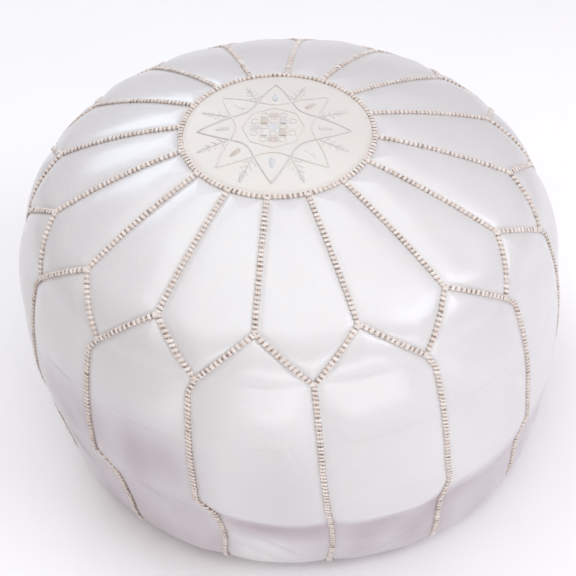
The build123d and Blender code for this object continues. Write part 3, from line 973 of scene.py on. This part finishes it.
def add_checks(mould, angle):
    """Filled squares in the middle, with a few open ones between them."""
    size = 0.0082
    out, side = turned(angle, 1.0), turned(angle + math.pi / 2, 1.0)
    colours = (BLUE, BEIGE, WHITE, GREY, BEIGE)
    for row in range(-2, 3):
        for column in range(-2, 3):
            # The four corners stay empty.
            if abs(row) + abs(column) > 3:
                continue
            centre = (column * side - row * out) * size
            if (row + column) % 2 == 0:
                along, across = (out, side) if row % 2 else (side, out)
                add_satin(mould, centre, along, across, 0.88 * size, 0.86 * size,
                          colours[(2 * row + column) % 5], pointed=False)
            else:
                half = 0.34 * size
                corners = [centre + half * (u * side + v * out)
                           for u, v in ((-1, -1), (1, -1), (1, 1), (-1, 1), (-1, -1))]
                add_line(mould, corners, WHITE, 2.4 * MM, 0.34 * MM)


def make_embroidery():
    """A star of eight curved beaded lines, a leaf in each point, sprigs between, checks inside."""
    mould = Mould()
    step = math.pi / 4
    for k in range(8):
        angle = STAR_TURN + k * step
        curve = [star_arc(angle, share) for share in np.linspace(-1, 1, 25)]
        add_line(mould, curve, (WHITE, GREY)[k % 2], 2.3 * MM, 0.52 * MM)
        out, side = turned(angle, 1.0), turned(angle + math.pi / 2, 1.0)
        add_satin(mould, turned(angle, STAR_LEAF), out, side, 0.0115, 0.0048,
                  (BLUE, WHITE, GREY, BEIGE)[k % 4])
        crossing = star_arc(angle, 0.5)
        add_sprig(mould, angle + step / 2, float(np.hypot(*crossing)))
        add_line(mould, [turned(angle, OCTAGON), turned(angle + step, OCTAGON)], WHITE,
                 2.3 * MM, 0.42 * MM)
    add_checks(mould, STAR_TURN)
    mould.make("medallion_embroidery_thread",
               [WHITE_THREAD, GREY_THREAD, BLUE_THREAD, BEIGE_THREAD],
               "medallion_embroidery")


# ---------------------------------------------------------------- base and inside

OPENING_LENGTH, OPENING_WIDTH = 0.300, 0.016


def make_base_half(name, side):
    """Half of the base disc. Its straight edge steps back round the zip's opening."""
    mould = Mould()
    radius = BASE_RADIUS - EDGE
    x = spread(181, -1, 1, 0.2) * radius * 0.9999
    rim = np.sqrt(radius ** 2 - x ** 2)
    inside = smooth_step(OPENING_LENGTH / 2 - np.abs(x), -1.0 * MM, 1.0 * MM)
    edge = np.minimum(0.1 * MM + inside * OPENING_WIDTH / 2, 0.9 * rim)
    v = spread(70, 0, 1)[:, None]
    y = side * (edge + v * (rim - edge))
    azimuth = np.arctan2(y, np.broadcast_to(x, y.shape))
    distance = SKIN_END - np.hypot(x, y)
    if side < 0:
        azimuth, distance = azimuth[:, ::-1], distance[:, ::-1]
    add_slab(mould, azimuth, distance)
    start = (0.0 if side > 0 else -math.pi) - FIRST_SEAM
    start = start % (2 * math.pi) / (2 * math.pi) * BOTTOM_SEAM.length
    add_bottom_lip(mould, -1, start, BOTTOM_SEAM.length / 2)
    piece = mould.make(f"{name}_leather", [BASE_LEATHER, RAW_EDGE], name)


def add_globe(mould, depth, lumps, flip=False):
    """A closed surface at a depth inside the leather, with lumps pressed into it."""
    rows, columns = 120, 160
    distance = np.linspace(0, 1, rows + 2)[1:-1, None] * SKIN_END
    azimuth = np.linspace(0, 2 * math.pi, columns, endpoint=False)[None]
    azimuth, distance = np.broadcast_arrays(azimuth, distance)
    place = skin(azimuth, distance, 0.0)
    lift = -depth - lumps * (0.5 + 0.5 * noise(place, 0.045, 6))
    points = shape(azimuth, distance, lift)
    poles = np.stack([points[0].mean(0), points[-1].mean(0)])
    first, last = np.arange(columns), (rows - 1) * columns + np.arange(columns)
    top, bottom = rows * columns, rows * columns + 1
    fans = np.concatenate([
        np.stack([np.full(columns, top), first, np.roll(first, -1)], -1),
        np.stack([np.full(columns, bottom), np.roll(last, -1), last], -1)])
    if flip:
        fans = fans[:, ::-1]
    points = np.concatenate([points.reshape(-1, 3), poles])
    mould.add(points, [grid_faces(rows, columns, wrap=True, flip=flip), fans])


def make_inside():
    """The cotton bag, and the wadding packed inside it."""
    bag = Mould()
    add_globe(bag, 7.6 * MM, 0.6 * MM)
    add_globe(bag, 8.4 * MM, 0.6 * MM, flip=True)
    bag_piece = bag.make("inner_bag_cotton", [BAG_CLOTH], "inner_bag")
    core = Mould()
    add_globe(core, 9.4 * MM, 6.0 * MM)
    stuffing = core.make("stuffing_wadding", [WADDING], "stuffing")


def paint_zip():
    """The zip keeps its CAD shapes, with finer materials."""
    finishes = {
        "zip_tape_left": TAPE_CLOTH, "zip_tape_right": TAPE_CLOTH,
        "zip_teeth_left": BRASS, "zip_teeth_right": BRASS,
        "zip_top_stops": BRASS, "zip_bottom_stop": BRASS,
        "zip_slider": BRASS, "zip_pull": BRASS, "zip_stitching": ZIP_THREAD,
    }
    for name, material in finishes.items():
        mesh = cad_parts[name].data
        mesh.materials.clear()
        mesh.materials.append(material)


# ---------------------------------------------------------------- room, light and camera

def make_floor():
    mesh = bpy.data.meshes.new("floor")
    reach = 6.0
    mesh.from_pydata([(-reach, -reach, 0), (reach, -reach, 0), (reach, reach, 0),
                      (-reach, reach, 0)], [], [(0, 1, 2, 3)])
    floor = bpy.data.objects.new("floor", mesh)
    bpy.context.scene.collection.objects.link(floor)
    paint = Paint("floor_paint", Roughness=0.9, Specular_IOR_Level=0.1)
    paint.set("Base Color", paint.mix(paint.ramp(paint.noise(3.0, 2.0), 0.3, 0.7),
                                      lin(252, 251, 252), lin(250, 249, 250)))
    mesh.materials.append(paint.material)


def add_light(name, place, size, power, colour):
    """A soft rectangular light that faces the pouf. size is its width and height."""
    light = bpy.data.lights.new(name, "AREA")
    light.shape = "RECTANGLE"
    light.size, light.size_y = size
    light.energy, light.color = power, colour
    lamp = bpy.data.objects.new(name, light)
    lamp.location = place
    lamp.rotation_euler = (Vector((0, 0, 0.2)) - Vector(place)).to_track_quat("-Z", "Y").to_euler()
    lamp.visible_camera = False
    bpy.context.scene.collection.objects.link(lamp)


def make_light():
    world = bpy.data.worlds.new("studio")
    bpy.context.scene.world = world
    world.use_nodes = True
    backdrop = world.node_tree.nodes["Background"]
    backdrop.inputs["Color"].default_value = (1.0, 0.90, 0.92, 1.0)
    backdrop.inputs["Strength"].default_value = 0.42
    add_light("overhead", (0.0, 0.0, 3.0), (3.0, 3.0), 30.0, (0.93, 0.99, 1.0))
    add_light("wide_overhead", (0.0, -0.55, 2.4), (3.6, 3.2), 15.5, (1.0, 1.0, 0.90))
    add_light("front_wall", (0.4, -2.1, 0.46), (2.4, 0.5), 10.5, (0.96, 1.0, 1.0))
    add_light("right_window", (1.8, -0.8, 2.0), (1.2, 1.2), 16.4, (0.83, 0.86, 1.0))
    add_light("back_window", (-1.2, 2.0, 2.0), (1.4, 1.4), 18.0, (0.76, 0.88, 1.0))


def make_camera():
    """A camera nearly a metre from the pouf's middle, looking down at its front."""
    data = bpy.data.cameras.new("camera")
    data.sensor_width = 36.0
    data.lens = 59.97
    data.shift_x, data.shift_y = -0.0165, -0.0312
    camera = bpy.data.objects.new("camera", data)
    bpy.context.scene.collection.objects.link(camera)
    elevation, roll = math.radians(43.65), math.radians(-4.34)
    target, away = Vector((0, 0, 0.1458)), 0.9776
    back = Vector((0, -math.cos(elevation), math.sin(elevation)))
    right, up = Vector((1, 0, 0)), Vector((0, math.sin(elevation), math.cos(elevation)))
    turned_right = math.cos(roll) * right + math.sin(roll) * up
    turned_up = math.cos(roll) * up - math.sin(roll) * right
    camera.matrix_world = Matrix.Translation(target + away * back) @ Matrix(
        (turned_right, turned_up, back)).transposed().to_4x4()
    bpy.context.scene.camera = camera
    bpy.context.scene.view_settings.view_transform = "Standard"


make_camera()
make_light()
make_floor()
make_leather()
make_seam_threads()
make_embroidery()
make_base_half("base_half_left", 1)
make_base_half("base_half_right", -1)
make_inside()
paint_zip()
